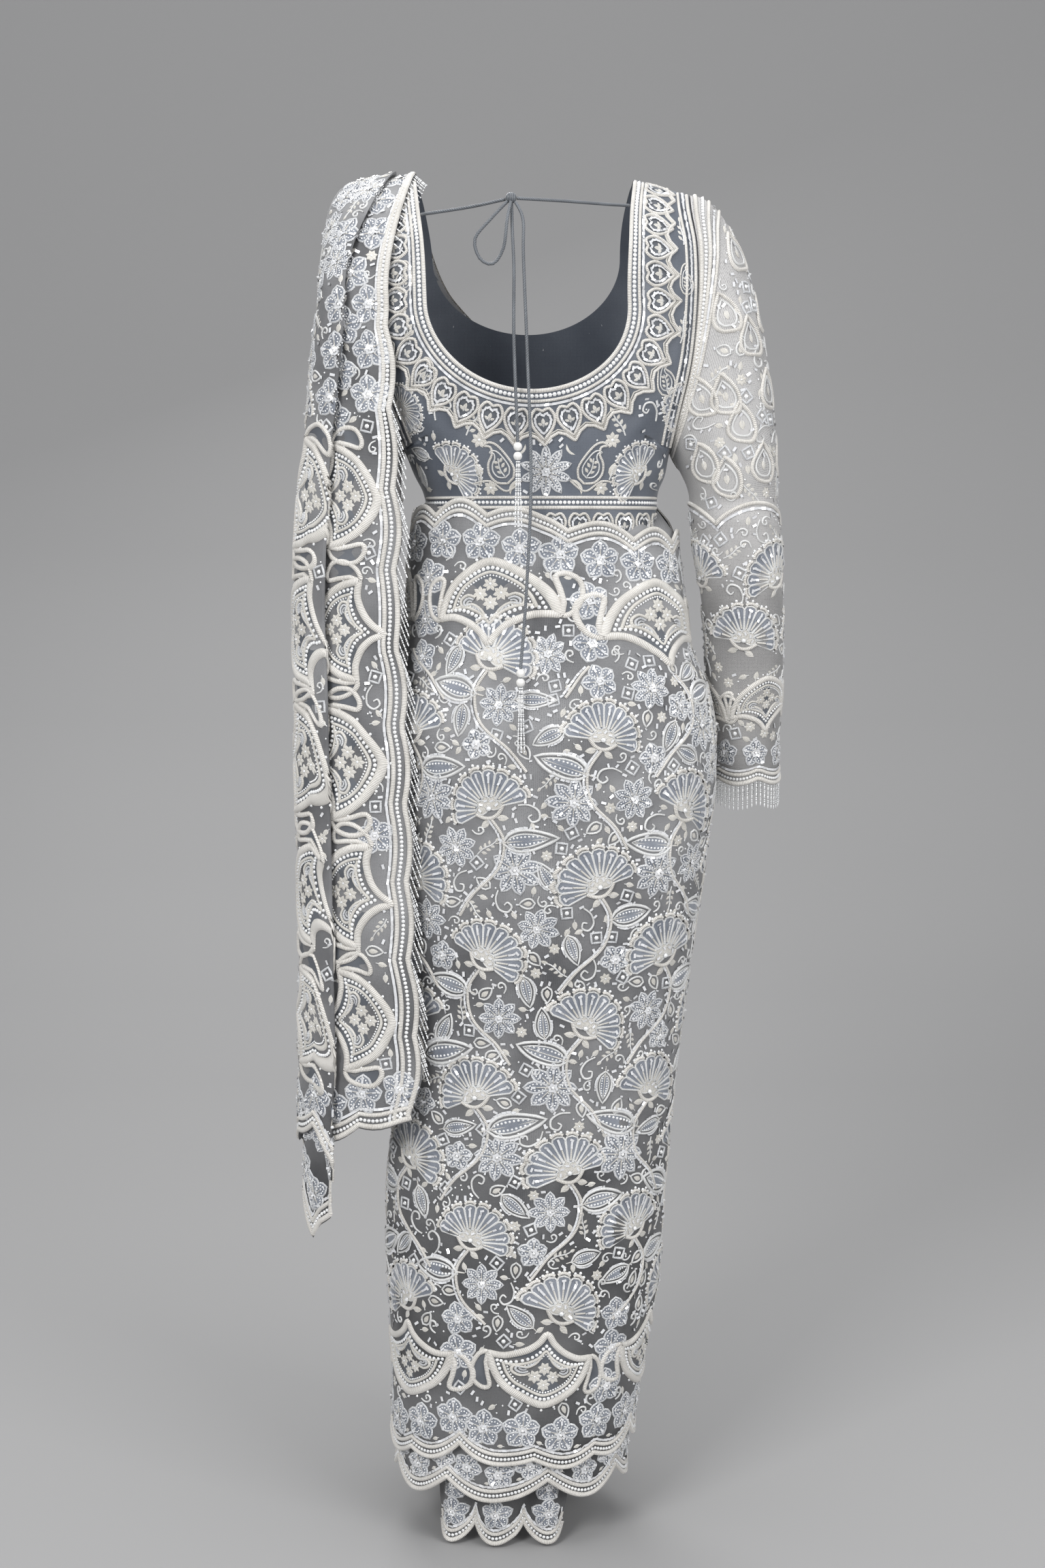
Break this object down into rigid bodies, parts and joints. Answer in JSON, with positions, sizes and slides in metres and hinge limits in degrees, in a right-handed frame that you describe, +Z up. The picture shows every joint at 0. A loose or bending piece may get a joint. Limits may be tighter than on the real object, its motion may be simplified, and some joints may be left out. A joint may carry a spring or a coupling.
{
  "type": "sari with its blouse",
  "caption": "Draped embroidered sari with its long-sleeved, deep-backed blouse, hollow as worn: wrapped skirt with scalloped hems, front pleats, folded shoulder end and a tasselled back tie.",
  "frame": {"origin": "centre of the waist, where the wearer holds the sari up", "axes": "+Z up, the wearer's front faces -Y and the back +Y, the wearer's left is +X"},
  "size_m": [0.5493, 0.3107, 1.5321],
  "materials": {
    "net": "semi-sheer silver-grey net with corded, sequinned and beaded embroidery",
    "lining": "satin-lined embroidered net",
    "beads": "glossy bugle and round beads",
    "tie": "rolled satin cord",
    "pearl": "lustrous imitation pearl"
  },
  "bodies": {
    "root": {"blouse_back": "lining", "blouse_front": "lining", "sleeve_right": "net", "sleeve_left": "net", "cuff_fringe_right": "beads", "cuff_fringe_left": "beads", "sari_outer_wrap": "net", "sari_middle_wrap": "net", "sari_inner_wrap": "net", "sari_pleats": "net", "sari_front_drape": "net", "sari_pallu": "net", "pallu_fringe": "beads", "tie_knot": "tie", "tie_left": "tie", "tie_right": "tie", "tie_loop": "tie", "tie_tail_short": "tie", "tie_tail_long": "tie", "tie_pearl_short_1": "pearl", "tie_pearl_short_2": "pearl", "tie_pearl_long_1": "pearl", "tie_pearl_long_2": "pearl", "tie_tassel_short": "beads", "tie_tassel_long": "beads"}
  },
  "joints": []
}
